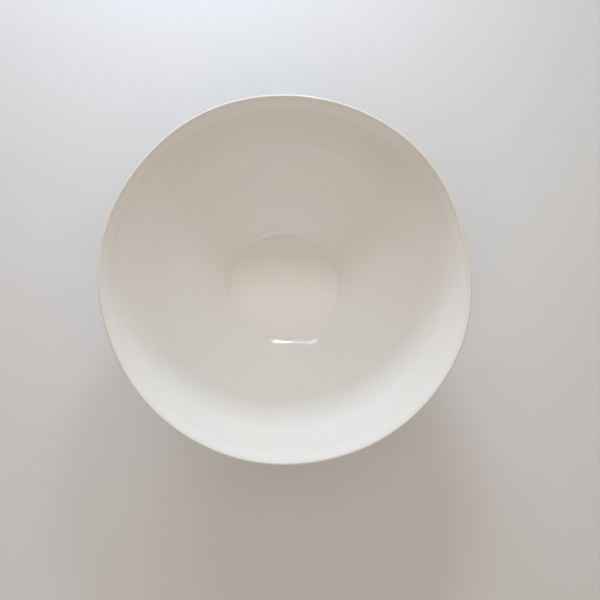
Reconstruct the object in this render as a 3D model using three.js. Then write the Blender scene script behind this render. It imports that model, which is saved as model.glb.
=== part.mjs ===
// A hand-thrown porcelain serving bowl on a luted foot ring. Millimetres, +Z up.
// The origin is the middle of the foot ring's bearing face, on the axis that everything is turned on.
//
// The shell, the foot ring and the slip between them are the fired clay. The glaze coats and the
// band on the lip are thin solids that lie face to face on the shell.

import * as THREE from 'three';

// ---- Driving dimensions ----

const rimRadius = 140; // outside of the lip, before the rim's waves
const bowlHeight = 110; // bearing face to the top of the lip
const floorRadius = 46; // flat floor, as far as its turn into the wall
const floorLevel = 15.5; // top of the floor's glaze
const turnRadius = 6; // arc between the floor and the wall
const turnSlope = 38; // degrees, where the turn ends and the wall starts
const baseThickness = 6; // wall and glaze together at the turn
const lipThickness = 2.25; // wall and glaze together at the lip
const collarWidth = 9; // in plan, from the crease below the rim to the outside of the lip
const collarSlope = 57; // degrees, steeper than the wall below the crease
const glazeThickness = 0.4;
const lipBandWidth = 2.5; // how far the band reaches down each side of the lip

const footRadius = 48; // outside of the foot ring where it stands
const footWidth = 6; // across the ring where it stands
const footTaper = 1.25; // the ring's extra radius at its seat
const footHeight = 9;
const footChamfer = 0.75;
const slipThickness = 0.5;
const slipBead = 0.5; // how far the slip is squeezed out past the ring
const undersideDome = 0.75; // rise of the base's underside at the axis
const undersideGap = 1; // bare strip between the underside's glaze and the ring

const slices = 60; // around the axis
const turnSteps = 3;
const wallSteps = 6;
const lipSteps = 4;

// The rim isn't a true circle and isn't quite level. Each wave pushes it by `reach` in `lobes`
// directions, the first of them at `towards` degrees from +X.
const outlineWaves = [
  { lobes: 2, reach: 0.65, towards: -27 },
  { lobes: 3, reach: 0.3, towards: -50 },
  { lobes: 4, reach: 0.5, towards: -32 },
  { lobes: 5, reach: 0.3, towards: -30 },
  { lobes: 6, reach: 0.3, towards: -13 },
  { lobes: 8, reach: 0.2, towards: -12 },
];
const levelWaves = [
  { lobes: 2, reach: 0.45, towards: 60 },
  { lobes: 3, reach: 0.35, towards: 10 },
  { lobes: 5, reach: 0.2, towards: 35 },
];
const wavesStart = 20; // the waves fade out down the wall and end at this height

// ---- Worked out from the dimensions above ----

const seatLevel = footHeight + slipThickness;
const seatOuter = footRadius + footTaper;
const seatInner = footRadius - footWidth - footTaper;
const undersideRadius = seatInner - slipBead - undersideGap;

const { sin, cos, atan2, hypot, PI } = Math;
const radians = THREE.MathUtils.degToRad;

// ---- The section of the wall ----
//
// A station is a point on the inside of the glazed bowl with the slope of the surface there and the
// whole thickness of the wall below it. Every other surface is found by going into the wall from it.

// The arc that leaves a station smoothly, up to a slope.
function arcStations(start, radius, endSlope, steps) {
  const arc = [];
  for (let step = 1; step <= steps; step += 1) {
    const slope = start.slope + (endSlope - start.slope) * (step / steps);
    arc.push({
      r: start.r + radius * (sin(slope) - sin(start.slope)),
      z: start.z + radius * (cos(start.slope) - cos(slope)),
      slope,
    });
  }
  return arc;
}

// The arc that leaves a station smoothly and ends at a point.
function arcStationsTo(start, end, steps) {
  const chord = hypot(end.z - start.z, end.r - start.r);
  const chordSlope = atan2(end.z - start.z, end.r - start.r);
  const radius = chord / (2 * sin(chordSlope - start.slope));
  return arcStations(start, radius, 2 * chordSlope - start.slope, steps);
}

// The straight collar below the lip: the station at a distance down it from the round lip.
function collarStation(distance) {
  const slope = radians(collarSlope);
  const halfLip = lipThickness / 2;
  return {
    r: rimRadius - halfLip - halfLip * sin(slope) - distance * cos(slope),
    z: bowlHeight - halfLip + halfLip * cos(slope) - distance * sin(slope),
    slope,
  };
}

function wallStations() {
  const lipStart = collarStation(0);
  const bandStart = collarStation(lipBandWidth);
  const crease = collarStation((lipStart.r - rimRadius + collarWidth) / cos(lipStart.slope));
  const floorEdge = { r: floorRadius, z: floorLevel, slope: 0 };
  const turn = arcStations(floorEdge, turnRadius, radians(turnSlope), turnSteps);
  const wallStart = turn[turn.length - 1];
  const wall = arcStationsTo(wallStart, crease, wallSteps);

  // The wall thins evenly from the turn to the lip.
  return [floorEdge, ...turn, ...wall, bandStart, lipStart].map((station) => {
    const share = Math.max(0, (station.z - wallStart.z) / (lipStart.z - wallStart.z));
    return { ...station, thickness: baseThickness + (lipThickness - baseThickness) * share };
  });
}

// The point at a depth into the wall, along the surface's normal.
function intoWall(station, depth) {
  return [station.r + depth * sin(station.slope), station.z - depth * cos(station.slope)];
}

// The round lip at a depth below its glazed surface, from the inside to the outside.
function lipArc(depth) {
  const end = stations[stations.length - 1];
  const middle = intoWall(end, lipThickness / 2);
  const radius = lipThickness / 2 - depth;
  const points = [];
  for (let step = 1; step < lipSteps; step += 1) {
    const angle = end.slope + PI / 2 - PI * (step / lipSteps);
    points.push([middle[0] + radius * cos(angle), middle[1] + radius * sin(angle)]);
  }
  return points;
}

const stations = wallStations();
const lastGlazed = stations.length - 2; // the station where the glaze ends and the lip band starts
const glazeLine = 2; // the lowest station with glaze on the outside
const insideSkin = stations.map((station) => intoWall(station, 0));
const insideClay = stations.map((station) => intoWall(station, glazeThickness));
const outsideClay = stations.map((station) => intoWall(station, station.thickness - glazeThickness));
const outsideSkin = stations.map((station) => intoWall(station, station.thickness));

// ---- Turned solids ----

function waveAt(waves, angle) {
  return waves.reduce(
    (sum, wave) => sum + wave.reach * cos(wave.lobes * (angle - radians(wave.towards))),
    0,
  );
}

// A section point turned to an angle, with the rim's waves.
function turnedPoint([r, z], angle) {
  const share = Math.max(0, (z - wavesStart) / (bowlHeight - wavesStart)) ** 2;
  const reach = r + share * waveAt(outlineWaves, angle);
  return [reach * cos(angle), reach * sin(angle), z + share * waveAt(levelWaves, angle)];
}

// Turns an anticlockwise section (r to the right, z up) into a closed solid. A section that has
// points on the axis starts and ends there. Any other section is a ring, and closes on itself.
// Each four-sided facet is split from its lower end, so two solids that share a surface have the
// same triangles on it and meet with neither a gap nor an overlap.
function turnedGeometry(section) {
  const onAxis = section[0][0] === 0;
  const positions = [];
  const index = [];
  const rows = section.map((point) => {
    const first = positions.length / 3;
    const count = point[0] === 0 ? 1 : slices;
    for (let slice = 0; slice < count; slice += 1) {
      positions.push(...turnedPoint(point, (2 * PI * slice) / slices));
    }
    return (slice) => first + (count === 1 ? 0 : slice % slices);
  });
  const bands = onAxis ? section.length - 1 : section.length;
  for (let band = 0; band < bands; band += 1) {
    const next = (band + 1) % section.length;
    const [r0, z0] = section[band];
    const [r1, z1] = section[next];
    const risesAlong = z0 < z1 || (z0 === z1 && r0 < r1);
    for (let slice = 0; slice < slices; slice += 1) {
      const a = rows[band](slice);
      const b = rows[band](slice + 1);
      const c = rows[next](slice + 1);
      const d = rows[next](slice);
      const triangles = risesAlong ? [[a, b, c], [a, c, d]] : [[a, b, d], [b, c, d]];
      const whole = triangles.filter(([p, q, s]) => p !== q && q !== s && s !== p);
      index.push(...whole.flat());
    }
  }
  const geometry = new THREE.BufferGeometry();
  geometry.setAttribute('position', new THREE.Float32BufferAttribute(positions, 3));
  geometry.setIndex(index);
  geometry.computeVertexNormals();
  return geometry;
}

function turnedPiece(name, section, material) {
  const mesh = new THREE.Mesh(turnedGeometry(section), new THREE.MeshStandardMaterial(material));
  mesh.name = name;
  return mesh;
}

// ---- The pieces ----

// The base's underside, domed from the edge of its glaze up to the axis. It starts on the axis.
function underside(level) {
  return [0, 1 / 2, 1].map((share) => [
    share * undersideRadius,
    level + undersideDome * (1 - share ** 2),
  ]);
}

function bowlBody() {
  const section = [
    ...underside(seatLevel),
    [seatOuter, seatLevel],
    ...outsideClay.slice(glazeLine),
    ...lipArc(glazeThickness).reverse(),
    ...[...insideClay].reverse(),
    [0, floorLevel - glazeThickness],
  ];
  return turnedPiece('bowl_body', section, { color: 0xe9e2d6, roughness: 0.55, metalness: 0 });
}

function footRing() {
  const inner = footRadius - footWidth;
  const section = [
    [inner + footChamfer, 0],
    [footRadius - footChamfer, 0],
    [footRadius, footChamfer],
    [seatOuter, footHeight],
    [seatInner, footHeight],
    [inner, footChamfer],
  ];
  return turnedPiece('foot_ring', section, { color: 0xe2d8c8, roughness: 0.7, metalness: 0 });
}

function lutingSlip() {
  const middle = footHeight + slipThickness / 2;
  const section = [
    [seatInner, footHeight],
    [seatOuter, footHeight],
    [seatOuter + slipBead, middle],
    [seatOuter, seatLevel],
    [seatInner, seatLevel],
    [seatInner - slipBead, middle],
  ];
  return turnedPiece('luting_slip', section, { color: 0xddd2c0, roughness: 0.75, metalness: 0 });
}

function interiorGlaze() {
  const section = [
    [0, floorLevel - glazeThickness],
    ...insideClay.slice(0, lastGlazed + 1),
    ...insideSkin.slice(0, lastGlazed + 1).reverse(),
    [0, floorLevel],
  ];
  return turnedPiece('interior_glaze', section, { color: 0xf1ede4, roughness: 0.12, metalness: 0 });
}

function exteriorGlaze() {
  const section = [
    ...outsideSkin.slice(glazeLine, lastGlazed + 1),
    ...outsideClay.slice(glazeLine, lastGlazed + 1).reverse(),
  ];
  return turnedPiece('exterior_glaze', section, { color: 0xefebe2, roughness: 0.15, metalness: 0 });
}

function undersideGlaze() {
  const section = [
    ...underside(seatLevel - glazeThickness),
    ...underside(seatLevel).reverse(),
  ];
  return turnedPiece('underside_glaze', section, { color: 0xefebe2, roughness: 0.18, metalness: 0 });
}

function lipBand() {
  const section = [
    ...outsideSkin.slice(lastGlazed),
    ...lipArc(0).reverse(),
    ...insideSkin.slice(lastGlazed).reverse(),
    ...insideClay.slice(lastGlazed),
    ...lipArc(glazeThickness),
    ...outsideClay.slice(lastGlazed).reverse(),
  ];
  return turnedPiece('lip_band', section, { color: 0xd9c7a8, roughness: 0.4, metalness: 0 });
}

const bowl = new THREE.Group();
bowl.add(
  bowlBody(),
  footRing(),
  lutingSlip(),
  interiorGlaze(),
  exteriorGlaze(),
  undersideGlaze(),
  lipBand(),
);

export default bowl;
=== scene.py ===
"""A hand-thrown porcelain serving bowl on a pale floor, seen from above in soft window light.

The bowl is a stack of turned pieces: the clay shell, its foot ring and the slip between them, three
glaze coats, and the tan band on the lip. Each piece is a grid of points, worked out as rows up a
section and slices round the axis. Sizes are in millimetres until a mesh is made, which is in metres.
The camera, the lights and the floor are in metres.
"""
import math

import bpy
import numpy as np
from mathutils import Matrix, Vector


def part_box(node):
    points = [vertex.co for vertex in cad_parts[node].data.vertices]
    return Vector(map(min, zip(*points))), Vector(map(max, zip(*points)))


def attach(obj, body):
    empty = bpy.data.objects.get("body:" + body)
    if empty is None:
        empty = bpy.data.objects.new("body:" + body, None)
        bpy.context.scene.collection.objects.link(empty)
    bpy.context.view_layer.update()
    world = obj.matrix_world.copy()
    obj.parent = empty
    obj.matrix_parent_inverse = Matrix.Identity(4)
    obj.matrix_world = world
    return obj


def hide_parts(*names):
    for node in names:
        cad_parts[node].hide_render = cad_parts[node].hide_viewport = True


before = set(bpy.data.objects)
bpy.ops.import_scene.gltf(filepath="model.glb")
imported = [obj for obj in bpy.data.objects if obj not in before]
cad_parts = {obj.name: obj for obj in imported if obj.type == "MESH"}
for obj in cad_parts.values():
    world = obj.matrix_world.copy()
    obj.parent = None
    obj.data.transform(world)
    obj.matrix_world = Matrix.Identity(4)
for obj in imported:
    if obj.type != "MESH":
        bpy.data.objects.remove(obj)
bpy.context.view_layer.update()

MM = 0.001


def box_mm(node):
    """A CAD node's lowest and highest corners, in millimetres."""
    return [np.array(corner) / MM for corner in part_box(node)]


# ---- Sizes, in millimetres ----

GLAZE = 0.4
FLOOR_LEVEL = box_mm("interior_glaze")[0][2] + GLAZE
FOOT_HEIGHT = box_mm("foot_ring")[1][2]
SEAT_LEVEL = box_mm("luting_slip")[1][2]
SEAT_OUTER = box_mm("foot_ring")[1][0]
UNDERSIDE_RADIUS = box_mm("underside_glaze")[1][0]

RIM_RADIUS = 140.0
BOWL_HEIGHT = 110.0
FLOOR_RADIUS = 46.0
# The turn from the floor to the wall, as arcs: the slope in degrees that each reaches, its radius.
TURN_ARCS = [(25.2, 2.2), (28.5, 60.0), (38, 4.0)]
BASE_THICKNESS = 6.0
LIP_THICKNESS = 2.25
COLLAR_WIDTH = 9.0
COLLAR_SLOPE = math.radians(57)
CREASE_BEND = 0.3  # length over which the wall bends into the collar
BAND_WIDTH = 2.5

FOOT_WIDTH = 6.0
FOOT_TAPER = 1.25
FOOT_EDGE = 1.1  # rounding of the edges that the bowl stands on
SEAT_EDGE = 0.3  # rounding of the edges at the slip
UNDERSIDE_DOME = 0.75

# The rim's waves: each reaches out, or up, in that many lobes round the rim, the first of them
# towards that angle in degrees.
OUTLINE_WAVES = [(2, 0.65, -27), (3, 0.3, -50), (4, 0.5, -32), (5, 0.3, -30), (6, 0.3, -13), (8, 0.2, -12)]
LEVEL_WAVES = [(2, 0.45, 60), (3, 0.35, 10), (5, 0.2, 35)]
WAVES_START = 20.0

# Where the relief lies. Places are distances up the section from the axis, unless they are radii.
FLOOR_STEP = 31.0  # the floor steps up to its outer ring
SHARP_RINGS = [(87, 0.035, 1.3), (114, 0.03, 1.5)]  # finer grooves inside: place, depth and width
BELLY_RADIUS = 112.0  # the inside wall is fullest here
BELLY_REACH = 24.0  # and starts to fill this far below
HOLLOW_TOWARDS = math.radians(-60)  # the near right, where the wall is hollow past the floor's edge
TURNED_BELOW = 84.0  # the outside is turned below this place
THROWN_ABOVE = 112.0  # and as thrown above this one

EDGE_ROUND = 0.75  # width of the round edge that a glaze coat ends in
EDGE_ROLL = 1.3  # how far in from its edge a coat stands highest
SLIP_BEAD = 0.45  # how far the slip is squeezed out

SLICES = 320
ROW = 0.75  # spacing of the rows that show
TURN_ROW = 0.4  # and where the floor turns into the wall
EDGE_ROW = 0.3  # and on the lip band and the bare belt
FOOT_ROW = 0.6  # and on the foot ring
HIDDEN_ROW = 3.0  # spacing of the rows between a glaze coat and the clay
TURN_STEPS = 20
WALL_STEPS = 200
CORNER_STEPS = 8
ANGLES = np.arange(SLICES) * (2 * math.pi / SLICES)
SHARP_ANGLE = math.radians(50)  # a mesh's edge that bends by more stays sharp


# ---- The section of the wall ----

def arc(start, radius, slopes):
    """Distance, radius, height and slope along an arc that leaves the start point smoothly."""
    s, r, z = start
    return np.stack([
        s + radius * (slopes - slopes[0]),
        r + radius * (np.sin(slopes) - np.sin(slopes[0])),
        z + radius * (np.cos(slopes[0]) - np.cos(slopes)),
        slopes,
    ])


def arc_to(start, slope, end):
    """The arc that leaves the start point at a slope and ends at another point."""
    across, up = end[0] - start[1], end[1] - start[2]
    chord_slope = math.atan2(up, across)
    radius = math.hypot(up, across) / (2 * math.sin(chord_slope - slope))
    return arc(start, radius, np.linspace(slope, 2 * chord_slope - slope, WALL_STEPS))


def wall_section():
    """The inside of the glazed bowl, from the axis to the lip: distance, radius, height and slope."""
    half_lip = LIP_THICKNESS / 2
    lip_r = RIM_RADIUS - half_lip - half_lip * math.sin(COLLAR_SLOPE)
    lip_z = BOWL_HEIGHT - half_lip + half_lip * math.cos(COLLAR_SLOPE)
    crease_r = RIM_RADIUS - COLLAR_WIDTH
    crease_z = lip_z - (lip_r - crease_r) * math.tan(COLLAR_SLOPE)

    columns = [np.array([[0, 0, FLOOR_LEVEL, 0]]).T]
    end, slope = (FLOOR_RADIUS, FLOOR_RADIUS, FLOOR_LEVEL), 0
    for degrees, radius in TURN_ARCS:
        reached = math.radians(degrees)
        columns.append(arc(end, radius, np.linspace(slope, reached, TURN_STEPS)))
        end, slope = columns[-1][:3, -1], reached
    columns.append(arc_to(end, slope, (crease_r, crease_z))[:, 1:])
    crease_s = columns[-1][0, -1]
    collar = math.hypot(lip_r - crease_r, lip_z - crease_z)
    share = CREASE_BEND / collar
    columns.append(np.array([
        [crease_s + CREASE_BEND, crease_s + collar],
        [crease_r + share * (lip_r - crease_r), lip_r],
        [crease_z + share * (lip_z - crease_z), lip_z],
        [COLLAR_SLOPE, COLLAR_SLOPE],
    ]))
    return np.concatenate(columns, axis=1)


def distance_at(degrees):
    """The distance up the section where the turn reaches a slope."""
    return np.interp(math.radians(degrees), SECTION[3], SECTION[0])


SECTION = wall_section()
TURN_END = distance_at(TURN_ARCS[-1][0])
LIP = SECTION[0][-1]
CREASE = SECTION[0][-2]
BAND_START = LIP - BAND_WIDTH
BELT_START = distance_at(24)  # a belt of bare clay lies between here and the glaze line
GLAZE_LINE = distance_at(25.8)
BELLY = np.interp(BELLY_RADIUS, SECTION[1], SECTION[0])
WALL_START_LEVEL = np.interp(TURN_END, SECTION[0], SECTION[2])


def thickness_at(s):
    """The wall's whole thickness at a distance up the section. It thins from the turn to the lip."""
    z = np.interp(s, SECTION[0], SECTION[2])
    share = np.clip((z - WALL_START_LEVEL) / (SECTION[2][-1] - WALL_START_LEVEL), 0, 1)
    return BASE_THICKNESS + (LIP_THICKNESS - BASE_THICKNESS) * share


def underside_level(r):
    """The height of the base's underside, which is domed inside the foot ring."""
    return SEAT_LEVEL + UNDERSIDE_DOME * np.clip(1 - (r / UNDERSIDE_RADIUS) ** 2, 0, None)


def wave(waves):
    """One set of the rim's waves, at every slice."""
    total = 0
    for lobes, reach, towards in waves:
        total = total + reach * np.cos(lobes * (ANGLES - math.radians(towards)))
    return total


def turned(r, z):
    """Section points, as rows, turned to every slice and moved by the rim's waves."""
    r, z = np.broadcast_arrays(*np.atleast_1d(r, z))
    if r.ndim == 1:
        r, z = r[:, None], z[:, None]
    share = np.clip((z - WAVES_START) / (BOWL_HEIGHT - WAVES_START), 0, None) ** 2
    reach = r + share * wave(OUTLINE_WAVES)
    height = z + share * wave(LEVEL_WAVES)
    return np.stack([reach * np.cos(ANGLES), reach * np.sin(ANGLES), height], axis=-1)


def wall_rows(s, depth):
    """Rows of points at distances s up the section and a depth into the wall, given as columns."""
    r, z, slope = [np.interp(s, SECTION[0], column) for column in SECTION[1:]]
    return turned(r + depth * np.sin(slope), z - depth * np.cos(slope))


def lip_rows(depth, angles):
    """Rows over the round lip at a depth below its surface. Angles go from 0, inside, to pi, outside."""
    middle_r = RIM_RADIUS - LIP_THICKNESS / 2
    middle_z = BOWL_HEIGHT - LIP_THICKNESS / 2
    radius = LIP_THICKNESS / 2 - depth
    direction = COLLAR_SLOPE + math.pi / 2 - angles
    return turned(middle_r + radius * np.cos(direction), middle_z + radius * np.sin(direction))


def spaced(start, end, spacing):
    """Distances from start to end, about as far apart as spacing."""
    return np.linspace(start, end, max(2, round(abs(end - start) / spacing) + 1))


# ---- Hand-made relief, as a height above the smooth wall ----

def bump(s, middle, width):
    """A smooth hump, 1 high at the middle."""
    return np.exp(-(((s - middle) / width) ** 2))


def fade(s, start, end):
    """0 before start, 1 after end, and smooth between them. The two may be in either order."""
    share = np.clip((s - start) / (end - start), 0, 1)
    return share * share * (3 - 2 * share)


def uneven(s, seed, length):
    """Slow waves up and round the wall, about 1 high, where a hand has pushed the clay."""
    draw = np.random.default_rng(seed)
    count = 7
    total = 0
    for lobes in range(1, count + 1):
        phase, turn, up = draw.uniform(0, 2 * math.pi, 3)
        lean = 1 + 0.4 * math.sin(up)
        total = total + np.cos(lobes * ANGLES + phase) * np.cos(2 * math.pi * lean * s / length + turn)
    return total / math.sqrt(count)


def uneven_line(seed, length):
    """The same slow waves along a line round the bowl."""
    return uneven(0, seed, length)


def throwing_rings(s, spacing):
    """The spiral that a finger leaves. It climbs by its spacing in one turn, and drifts a little."""
    drift = 0.9 * np.sin(s / 23) + 0.6 * np.sin(s / 9.1 + 1)
    return np.cos(2 * math.pi * s / spacing - ANGLES + drift)


def below_collar(s):
    """1 on the wall, fading to 0 up the collar, which has hardly any relief."""
    return fade(s, LIP, CREASE)


def floor_relief(s):
    """The floor: a small raised centre in a hollow, a finger's spiral, and a low step."""
    centre = 0.20 * bump(s, 0, 4.5) - 0.22 * bump(s, 9, 6)
    spiral = 0.035 * throwing_rings(s, 6.5)
    step = 0.06 * np.tanh((s - FLOOR_STEP) / 1.1)
    groove = 0.05 * bump(s, FLOOR_STEP, 1.0)
    on_floor = fade(s, 43, 38)
    return centre + (spiral + step) * on_floor - groove


def turn_relief(s):
    """The floor's crisp edge: a groove where the turn starts, and a soft ridge where it ends."""
    return 0.07 * bump(s, TURN_END - 0.5, 0.9) - 0.10 * bump(s, FLOOR_RADIUS - 0.4, 0.9)


def wall_relief(s):
    """The inside wall's throwing rings, wide and narrow, and a few finer grooves."""
    rings = 0.045 * throwing_rings(s, 13) + 0.012 * throwing_rings(s, 4.2)
    grooves = sum(depth * bump(s, middle, width) for middle, depth, width in SHARP_RINGS)
    on_wall = fade(s, 56, 72) * below_collar(s)
    return rings * on_wall - grooves


def wall_fullness(s):
    """The wall is full below the collar, and hollow past the floor's edge at the near right."""
    belly = 0.8 * fade(s, BELLY - BELLY_REACH, BELLY) * fade(s, CREASE, BELLY)
    near_right = bump(np.cos(ANGLES - HOLLOW_TOWARDS), 1, 0.04)
    hollow = 1.4 * fade(s, FLOOR_RADIUS + 0.5, 59) * fade(s, 100, 58) * near_right
    return belly - hollow


def collar_relief(s):
    """The crease under the collar, soft with a sharper line in it, and a faint line above it."""
    soft = 0.05 * bump(s, CREASE, 3.0)
    sharp = 0.08 * bump(s, CREASE, 0.8)
    above = 0.03 * bump(s, CREASE + 6, 0.9)
    return -(soft + sharp + above)


def inside_relief(s):
    """All the relief inside the bowl, with an unevenness that grows up the wall."""
    relief = floor_relief(s) + turn_relief(s) + wall_relief(s) + wall_fullness(s) + collar_relief(s)
    return relief + 0.16 * uneven(s, seed=3, length=85) * fade(s, 20, 90) * below_collar(s)


def outside_relief(s):
    """The outside: throwing rings on the upper wall, and fine turning lines nearer the foot."""
    turned_part = fade(s, THROWN_ABOVE, TURNED_BELOW)
    rings = 0.085 * throwing_rings(s, 11) + 0.03 * throwing_rings(s, 4.8)
    lines = 0.022 * throwing_rings(s, 2.9) * fade(s, 51, 56)
    relief = rings * (1 - turned_part) * below_collar(s) + lines * turned_part
    return relief + 0.22 * uneven(s, seed=8, length=95) * fade(s, 58, 100) * below_collar(s)


def inside_rows(s, depth):
    """Rows at a depth below the inside skin, which has the relief."""
    s = s[:, None]
    return wall_rows(s, depth - inside_relief(s))


def outside_rows(s, depth):
    """Rows at a depth below the outside skin, which has the relief."""
    s = s[:, None]
    return wall_rows(s, thickness_at(s) - depth + outside_relief(s))


def glaze_edge(inwards, roll_height, roll_width):
    """How thick a glaze coat is at a distance in from its edge: the edge is round, with a roll behind."""
    share = np.clip(inwards / EDGE_ROUND, 0, 1)
    coat = GLAZE * np.sqrt(1 - (1 - share) ** 2)
    roll = roll_height * bump(inwards, EDGE_ROLL, roll_width) * fade(inwards, 0, 0.7)
    return coat + roll


# ---- Meshes and pieces ----

def grid_faces(rows, closes, start_pole, end_pole):
    """Four-sided faces between rows of points, with fans to the poles. All face outwards."""
    here = np.arange(SLICES)
    following = (here + 1) % SLICES
    faces = []
    for row in range(rows if closes else rows - 1):
        low, high = row * SLICES, ((row + 1) % rows) * SLICES
        faces.append(np.stack([low + here, low + following, high + following, high + here], axis=1))
    quads = np.concatenate(faces).tolist()
    if not closes:
        last = (rows - 1) * SLICES
        quads += np.stack([np.full(SLICES, start_pole), following, here], axis=1).tolist()
        quads += np.stack([last + here, last + following, np.full(SLICES, end_pole)], axis=1).tolist()
    return quads


def turned_piece(name, rows, material, node, poles=None, from_lip=None):
    """A closed mesh from rows of points in millimetres, which run anticlockwise round the section.

    poles are the heights where the section starts and ends on the axis. Without them the section is
    a ring and closes on itself. from_lip is each row's distance down from the lip's round edge, and
    is below 0 on the round.
    """
    count = len(rows)
    points = rows.reshape(-1, 3)
    if poles:
        points = np.concatenate([points, [[0, 0, poles[0]], [0, 0, poles[1]]]])
    faces = grid_faces(count, not poles, count * SLICES, count * SLICES + 1)
    mesh = bpy.data.meshes.new(name)
    mesh.from_pydata((points * MM).tolist(), [], faces)
    if from_lip is not None:
        field = mesh.attributes.new("from_lip", "FLOAT", "POINT")
        values = np.repeat(from_lip, SLICES)
        field.data.foreach_set("value", np.pad(values, (0, len(points) - len(values)), mode="edge"))
    mesh.materials.append(material)
    mesh.shade_smooth()
    mesh.set_sharp_from_angle(angle=SHARP_ANGLE)
    mesh.update()
    piece = bpy.data.objects.new(name, mesh)
    bpy.context.scene.collection.objects.link(piece)
    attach(piece, "root")
    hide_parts(node)


CLAY_ROWS = spaced(GLAZE_LINE + 2.5, BAND_START, HIDDEN_ROW)
INSIDE_CLAY_ROWS = np.concatenate([
    spaced(6, FLOOR_RADIUS, HIDDEN_ROW),
    spaced(FLOOR_RADIUS + 1, GLAZE_LINE, 1),
    CLAY_ROWS,
])
LIP_ANGLES = np.linspace(0, math.pi, 25)[1:-1]


def inside_glaze(material):
    """The coat on the floor and the inside wall, up to the lip band."""
    skin_s = np.concatenate([
        spaced(1, FLOOR_RADIUS, ROW),
        spaced(FLOOR_RADIUS + TURN_ROW, TURN_END, TURN_ROW),
        spaced(TURN_END + ROW, BAND_START, ROW),
    ])[::-1]
    rows = np.concatenate([inside_rows(INSIDE_CLAY_ROWS, GLAZE), inside_rows(skin_s, 0)])
    centre = FLOOR_LEVEL + inside_relief(0).mean()
    from_lip = LIP - np.concatenate([INSIDE_CLAY_ROWS, skin_s])
    turned_piece("interior_glaze_coat", rows, material, "interior_glaze",
                 poles=(FLOOR_LEVEL - GLAZE, centre), from_lip=from_lip)


def outside_glaze(material):
    """The coat on the outside wall, from an uneven line round the foot up to the lip band."""
    line = GLAZE_LINE + 0.45 * uneven_line(seed=21, length=50) + 0.12 * np.cos(23 * ANGLES)
    over_edge = EDGE_ROUND * np.linspace(0.03, 1, 9) ** 2
    up = np.concatenate([[0], over_edge, spaced(1.2, BAND_START - GLAZE_LINE, ROW)])
    above_line = up[:, None] * (BAND_START - line) / up[-1]
    s = line + above_line
    coat = glaze_edge(above_line, roll_height=0.2, roll_width=1.1)
    skin = thickness_at(s) - GLAZE + coat + outside_relief(s)
    clay_s = CLAY_ROWS[::-1]
    rows = np.concatenate([wall_rows(s, skin), outside_rows(clay_s, GLAZE)])
    from_lip = LIP - np.concatenate([s.mean(axis=1), clay_s])
    turned_piece("exterior_glaze_coat", rows, material, "exterior_glaze",
                 from_lip=from_lip)


def lip_band(material):
    """The wash over the round lip and a little way down each side of it."""
    side = spaced(BAND_START, LIP, EDGE_ROW)
    rows = np.concatenate([
        outside_rows(side, 0),
        lip_rows(0, LIP_ANGLES[::-1]),
        inside_rows(side[::-1], 0),
        inside_rows(side, GLAZE),
        lip_rows(GLAZE, LIP_ANGLES),
        outside_rows(side[::-1], GLAZE),
    ])
    down = LIP - side
    over = (np.abs(LIP_ANGLES - math.pi / 2) - math.pi / 2) * LIP_THICKNESS / 2
    from_lip = np.concatenate([down, over, down[::-1], down, over, down[::-1]])
    turned_piece("lip_band_wash", rows, material, "lip_band", from_lip=from_lip)


def bowl_body(material):
    """The clay shell. Only a belt above the foot and a strip inside the foot ring show."""
    across = spaced(4, UNDERSIDE_RADIUS + 1, 2)
    seat = spaced(UNDERSIDE_RADIUS + 1.5, SEAT_OUTER, 1)
    belt = spaced(BELT_START, GLAZE_LINE + 2, EDGE_ROW)
    rows = np.concatenate([
        turned(across, underside_level(across)),
        turned(seat, SEAT_LEVEL),
        outside_rows(np.concatenate([belt, CLAY_ROWS, [LIP]]), GLAZE),
        lip_rows(GLAZE, LIP_ANGLES[::-1]),
        inside_rows(np.concatenate([INSIDE_CLAY_ROWS, [LIP]])[::-1], GLAZE),
    ])
    turned_piece("porcelain_body", rows, material, "bowl_body",
                 poles=(underside_level(0), FLOOR_LEVEL - GLAZE))


def rounded(corners, radii):
    """A closed outline with round corners, as arrays of radius and height."""
    count = len(corners)
    points = []
    for i, (corner, radius) in enumerate(zip(corners, radii)):
        here, before, after = (Vector(corners[k % count]) for k in (i, i - 1, i + 1))
        into, away = (here - before).normalized(), (after - here).normalized()
        reach = radius * math.tan(into.angle(away) / 2)
        start, end = here - into * reach, here + away * reach
        for step in range(CORNER_STEPS + 1):
            t = step / CORNER_STEPS
            points.append((1 - t) ** 2 * start + 2 * t * (1 - t) * here + t * t * end)
    return np.array(points).T


def refined(r, z, spacing):
    """The same closed outline with points added along its straight stretches."""
    out_r, out_z = [], []
    for i in range(len(r)):
        k = (i + 1) % len(r)
        steps = max(1, int(math.hypot(r[k] - r[i], z[k] - z[i]) / spacing))
        for step in range(steps):
            out_r.append(r[i] + (r[k] - r[i]) * step / steps)
            out_z.append(z[i] + (z[k] - z[i]) * step / steps)
    return np.array(out_r), np.array(out_z)


def foot_ring(material):
    """The ring that the bowl stands on, tapered and with turning lines on both of its sides."""
    outer = SEAT_OUTER - FOOT_TAPER
    inner = outer - FOOT_WIDTH
    corners = [(inner, 0), (outer, 0), (SEAT_OUTER, FOOT_HEIGHT), (inner - FOOT_TAPER, FOOT_HEIGHT)]
    r, z = refined(*rounded(corners, (FOOT_EDGE, FOOT_EDGE, SEAT_EDGE, SEAT_EDGE)), FOOT_ROW)
    r, z = r[:, None], z[:, None]
    sides = fade(z, 0.6, 2) * fade(z, FOOT_HEIGHT - 0.3, FOOT_HEIGHT - 1.5)
    away = np.where(r > (outer + inner) / 2, 1, -1)
    lines = 0.035 * np.cos(2 * math.pi * z / 1.9 - ANGLES) + 0.08 * uneven(z, seed=5, length=20)
    rows = turned(r + away * sides * lines, z)
    turned_piece("turned_foot_ring", rows, material, "foot_ring")


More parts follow.
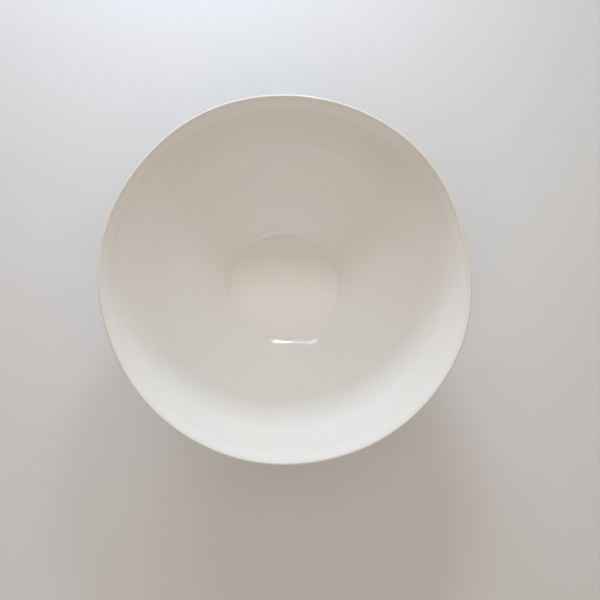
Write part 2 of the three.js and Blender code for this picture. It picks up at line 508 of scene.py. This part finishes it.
def luting_slip(material):
    """The slip between the ring and the base, squeezed out in an uneven bead on both sides."""
    middle = (FOOT_HEIGHT + SEAT_LEVEL) / 2
    half = (SEAT_LEVEL - FOOT_HEIGHT) / 2
    inner = SEAT_OUTER - FOOT_WIDTH - 2 * FOOT_TAPER
    around = np.linspace(-math.pi / 2, math.pi / 2, 9)[:, None]
    bead = SLIP_BEAD + 0.13 * uneven_line(seed=31, length=40) + 0.05 * np.cos(31 * ANGLES)
    out = bead * np.cos(around)
    height = middle + half * np.sin(around)
    rows = np.concatenate([turned(SEAT_OUTER + out, height), turned(inner - out, height[::-1])])
    turned_piece("luting_slip_bead", rows, material, "luting_slip")


def underside_glaze(material):
    """The patch inside the foot ring: a rolled edge, turning lines, and a small point at the middle."""
    across = spaced(1.2, UNDERSIDE_RADIUS, ROW)[:, None]
    edge = UNDERSIDE_RADIUS - across
    lines = (0.03 * throwing_rings(across, 3.4) - 0.1 * bump(across, 0, 3)) * fade(edge, 0, 3)
    coat = glaze_edge(edge, roll_height=0.12, roll_width=1.0)
    clay_r = spaced(4, UNDERSIDE_RADIUS - 1, 4)[::-1]
    rows = np.concatenate([
        turned(across, underside_level(across) - coat + lines),
        turned(clay_r, underside_level(clay_r)),
    ])
    turned_piece("underside_glaze_patch", rows, material, "underside_glaze",
                 poles=(underside_level(0) - GLAZE, underside_level(0)))


# ---- Materials ----

WARM_WHITE = (0.853, 0.828, 0.772)
COOL_WHITE = (0.839, 0.828, 0.789)
# The collar's paler white is painted light: it stands in for the extra light the collar catches.
COLLAR_PAINTED_LIGHT = (0.90, 0.878, 0.83)
MOTTLE = (0.78, 0.72, 0.63)
TAN = (0.72, 0.58, 0.42)
IRON = (0.22, 0.15, 0.09)
CLAY = (0.76, 0.69, 0.59)
BODY_TOASTED = (0.66, 0.55, 0.42)
FOOT_TOASTED = (0.64, 0.53, 0.40)
SLIP = (0.72, 0.64, 0.53)
SLIP_TOASTED = (0.62, 0.51, 0.39)
PALE_FLOOR = [(0.755, 0.75, 0.735), (0.775, 0.77, 0.755)]

LIP_REACH = 20  # millimetres below the lip in which the glaze's colour may change

# A Mix node has one set of sockets for each type of data. These are the colours' places.
MIX_SHARE, MIX_LOW, MIX_HIGH, MIX_RESULT = 0, 6, 7, 2


def shader(name):
    """A new material, with its node tree and its surface."""
    material = bpy.data.materials.new(name)
    material.use_nodes = True
    tree = material.node_tree
    return material, tree, tree.nodes["Principled BSDF"]


def place(tree):
    """The place on the object, in metres."""
    node = tree.nodes.get("Texture Coordinate") or tree.nodes.new("ShaderNodeTexCoord")
    return node.outputs["Object"]


def noise(tree, size_mm, detail):
    """Noise whose features are about size_mm across."""
    node = tree.nodes.new("ShaderNodeTexNoise")
    node.inputs["Scale"].default_value = 1 / (size_mm * MM)
    node.inputs["Detail"].default_value = detail
    tree.links.new(place(tree), node.inputs["Vector"])
    return node.outputs["Fac"]


def ramp(tree, source, stops):
    """A grey ramp from (position, value) stops."""
    node = tree.nodes.new("ShaderNodeValToRGB")
    elements = node.color_ramp.elements
    while len(elements) < len(stops):
        elements.new(0.5)
    for element, (position, value) in zip(elements, stops):
        element.position = position
        element.color = (value, value, value, 1)
    tree.links.new(source, node.inputs["Fac"])
    return node.outputs["Color"]


def feed(tree, socket, value):
    """Gives a node's input a value: an output to follow, a colour or a number."""
    if isinstance(value, tuple):
        socket.default_value = (*value, 1)
    elif isinstance(value, (int, float)):
        socket.default_value = value
    else:
        tree.links.new(value, socket)


def mixed(tree, share, low, high):
    """A colour mix, low where the share is 0 and high where it is 1."""
    node = tree.nodes.new("ShaderNodeMix")
    node.data_type = "RGBA"
    feed(tree, node.inputs[MIX_SHARE], share)
    feed(tree, node.inputs[MIX_LOW], low)
    feed(tree, node.inputs[MIX_HIGH], high)
    return node.outputs[MIX_RESULT]


def worked_out(tree, operation, *values):
    """A Math node's result."""
    node = tree.nodes.new("ShaderNodeMath")
    node.operation = operation
    for socket, value in zip(node.inputs, values):
        feed(tree, socket, value)
    return node.outputs[0]


def bumped(tree, surface, height, distance_mm, strength):
    """Gives a surface fine relief from a height."""
    node = tree.nodes.new("ShaderNodeBump")
    node.inputs["Distance"].default_value = distance_mm * MM
    node.inputs["Strength"].default_value = strength
    tree.links.new(height, node.inputs["Height"])
    tree.links.new(node.outputs["Normal"], surface.inputs["Normal"])


def specks(tree, colour, spacing_mm, radius_mm, share):
    """Sparse iron specks: that share of the cells of a Voronoi pattern have a dark dot."""
    cells = tree.nodes.new("ShaderNodeTexVoronoi")
    cells.inputs["Scale"].default_value = 1 / (spacing_mm * MM)
    tree.links.new(place(tree), cells.inputs["Vector"])
    dot = ramp(tree, cells.outputs["Distance"], [(0, 1.0), (radius_mm / spacing_mm, 0.0)])
    chosen = ramp(tree, cells.outputs["Color"], [(1 - share - 0.01, 0.0), (1 - share, 1.0)])
    both = mixed(tree, chosen, (0.0, 0.0, 0.0), dot)
    return mixed(tree, both, colour, IRON)


def distance_from_lip(tree):
    """The distance down from the lip, a little uneven, as a share of LIP_REACH."""
    lip = tree.nodes.new("ShaderNodeAttribute")
    lip.attribute_name = "from_lip"
    distance = worked_out(tree, "MULTIPLY_ADD", noise(tree, 9, 2), 1.6, lip.outputs["Fac"])
    return worked_out(tree, "MULTIPLY", distance, 1 / LIP_REACH)


def overlaid_from_lip(tree, colour, wash, share, down, full_mm, none_mm):
    """A colour with a share of another colour laid over it, whole as far down as full_mm and gone at
    none_mm. The colour laid over, wash, is the lip's real tan in one use and the collar's painted light in
    the other.
    """
    stops = [(0.0, share), (full_mm / LIP_REACH, share), (none_mm / LIP_REACH, 0.0)]
    return mixed(tree, ramp(tree, down, stops), colour, wash)


def glaze_colour(tree):
    """White glaze that drifts between two tones, faintly mottled, with rare specks."""
    drift = ramp(tree, noise(tree, 45, 2), [(0.35, 0.0), (0.65, 1.0)])
    tone = mixed(tree, drift, WARM_WHITE, COOL_WHITE)
    mottle = ramp(tree, noise(tree, 4, 4), [(0.4, 0.0), (0.75, 0.10)])
    return specks(tree, mixed(tree, mottle, tone, MOTTLE), spacing_mm=16, radius_mm=0.35, share=0.04)


def glaze_material(name, at_lip=True):
    """Glossy porcelain glaze. At the lip the collar is painted paler, as painted light for the extra light
    it catches, and the edge is faintly tan.
    """
    material, tree, surface = shader(name)
    colour = glaze_colour(tree)
    if at_lip:
        down = distance_from_lip(tree)
        # Painted light: the collar is painted paler to stand in for the extra light it catches. The tan on
        # the edge is the lip's own colour.
        colour = overlaid_from_lip(tree, colour, COLLAR_PAINTED_LIGHT, 0.35, down, full_mm=9.6, none_mm=12)
        colour = overlaid_from_lip(tree, colour, TAN, 0.17, down, full_mm=1.4, none_mm=4)
    tree.links.new(colour, surface.inputs["Base Color"])
    gloss = ramp(tree, noise(tree, 12, 3), [(0.3, 0.09), (0.7, 0.15)])
    tree.links.new(gloss, surface.inputs["Roughness"])
    bumped(tree, surface, noise(tree, 2.2, 2), 0.02, 0.25)
    return material


def bare_porcelain(name, colour, toasted, grit_mm):
    """Unglazed clay: matt, faintly sandy, toasted in patches."""
    material, tree, surface = shader(name)
    patches = ramp(tree, noise(tree, 18, 4), [(0.35, 0.0), (0.7, 0.7)])
    patchy = mixed(tree, patches, colour, toasted)
    sand = ramp(tree, noise(tree, 0.6, 3), [(0.45, 0.0), (0.7, 0.35)])
    sandy = mixed(tree, sand, patchy, toasted)
    spotted = specks(tree, sandy, spacing_mm=7, radius_mm=0.3, share=0.06)
    tree.links.new(spotted, surface.inputs["Base Color"])
    matt = ramp(tree, noise(tree, 5, 3), [(0.3, 0.55), (0.7, 0.72)])
    tree.links.new(matt, surface.inputs["Roughness"])
    bumped(tree, surface, noise(tree, 0.5, 4), grit_mm, 0.5)
    return material


# ---- The stage, camera and light, in metres ----

FLOOR_REACH = 8.0

CAMERA_AIM = Vector((0.0098, -0.0172, (BOWL_HEIGHT - 1) * MM))
CAMERA_DISTANCE = 0.567
LEAN_LEFT = math.radians(2.16)
LEAN_NEAR = math.radians(3.56)
SENSOR_MM = 36
LENS_MM = 45.5

# How far the windows and the wall behind them are from the bowl's axis.
NEAR_WINDOW = 0.6
FAR_WINDOW = 1.0
FAR_WALL = 1.6

ROOM_COLOUR = (0.97, 0.86, 0.67, 1)
ROOM_STRENGTH = 0.275


def floor_plane():
    """A pale, matt floor, wide enough to lie behind the bowl in any view."""
    material, tree, surface = shader("pale_floor")
    tone = mixed(tree, noise(tree, 60, 2), *PALE_FLOOR)
    tree.links.new(tone, surface.inputs["Base Color"])
    surface.inputs["Roughness"].default_value = 0.9
    mesh = bpy.data.meshes.new("floor")
    corners = [(x * FLOOR_REACH, y * FLOOR_REACH, 0) for x, y in ((-1, -1), (1, -1), (1, 1), (-1, 1))]
    mesh.from_pydata(corners, [], [(0, 1, 2, 3)])
    mesh.materials.append(material)
    floor = bpy.data.objects.new("floor", mesh)
    bpy.context.scene.collection.objects.link(floor)


def camera():
    """Looks almost straight down on the rim, from a little to the left and the near side."""
    data = bpy.data.cameras.new("camera")
    data.sensor_width = SENSOR_MM
    data.lens = LENS_MM
    view = bpy.data.objects.new("camera", data)
    bpy.context.scene.collection.objects.link(view)
    back = Vector((-math.tan(LEAN_LEFT), -math.tan(LEAN_NEAR), 1)).normalized()
    right = Vector((0, 1, 0)).cross(back).normalized()
    up = back.cross(right)
    turn = Matrix((right, up, back)).transposed().to_4x4()
    view.matrix_world = Matrix.Translation(CAMERA_AIM + back * CAMERA_DISTANCE) @ turn
    bpy.context.scene.camera = view


def soft_panel(name, centre, size, towards, radiance, colour):
    """A rectangular light that faces a direction. It lights the room but isn't seen itself."""
    data = bpy.data.lights.new(name, "AREA")
    data.shape = "RECTANGLE"
    data.size, data.size_y = size
    data.energy = radiance * math.pi * size[0] * size[1]
    data.color = colour
    lamp = bpy.data.objects.new(name, data)
    lamp.location = centre
    lamp.rotation_euler = (-Vector(towards)).to_track_quat("Z", "Y").to_euler()
    lamp.visible_camera = False
    bpy.context.scene.collection.objects.link(lamp)
    return lamp


def window_pane(name, away, sides, heights, radiance, colour, reflects=False):
    """A pane of a window on the far side of the bowl, at a distance away. Sides are along +X.

    A pane that reflects shows in the glaze as a highlight. The others only shed light.
    """
    centre = (sum(sides) / 2, away, sum(heights) / 2)
    size = (sides[1] - sides[0], heights[1] - heights[0])
    pane = soft_panel(name, centre, size, (0, -1, 0), radiance, colour)
    pane.visible_glossy = reflects


def windows():
    """Daylight from two windows on the far side, the nearer one brighter, and from the wall behind."""
    window_pane("near_low", NEAR_WINDOW, (-0.25, 0.02), (0.162, 0.22), 30, (0.875, 1.0, 1.26))
    window_pane("near_high", NEAR_WINDOW, (-0.03, 0.12), (0.415, 0.51), 31, (0.9, 1.0, 1.2), reflects=True)
    window_pane("far_low", FAR_WINDOW, (-0.52, -0.283), (0.215, 0.302), 5.5, (0.855, 1.0, 1.34))
    window_pane("far_high", FAR_WINDOW, (-0.52, -0.07), (0.664, 0.845), 6, (0.85, 1.0, 1.15), reflects=True)
    window_pane("far_wall", FAR_WALL, (-1.7, 1.0), (0.2, 0.8), 0.62, (0.92, 1.0, 1.08), reflects=True)


def room():
    """Weak light from the ceiling, from a corner on the right, and from the rest of a warm room."""
    soft_panel("ceiling", (0, 0, 1.6), (2, 2), (0, 0, -1), 0.38, (1.09, 1.0, 0.82))
    soft_panel("near_ceiling", (0, -0.9, 1.3), (1.5, 0.8), (0, 0.9, -1.3), 1.02, (1.07, 1.0, 1.17))
    soft_panel("right_corner", (1.0, 1.0, 0.9), (0.8, 0.8), (-0.8, -0.9, -0.9), 0.2, (0.9, 1.0, 0.9))
    world = bpy.data.worlds.new("room")
    world.use_nodes = True
    background = world.node_tree.nodes["Background"]
    background.inputs["Color"].default_value = ROOM_COLOUR
    background.inputs["Strength"].default_value = ROOM_STRENGTH
    bpy.context.scene.world = world
    bpy.context.scene.view_settings.view_transform = "Standard"


camera()
windows()
room()
floor_plane()

inside_glaze(glaze_material("inside_glaze"))
outside_glaze(glaze_material("outside_glaze"))
lip_band(glaze_material("lip_wash"))
underside_glaze(glaze_material("base_glaze", at_lip=False))
bowl_body(bare_porcelain("porcelain_body", CLAY, BODY_TOASTED, 0.04))
foot_ring(bare_porcelain("bare_foot", CLAY, FOOT_TOASTED, 0.05))
luting_slip(bare_porcelain("slip", SLIP, SLIP_TOASTED, 0.05))
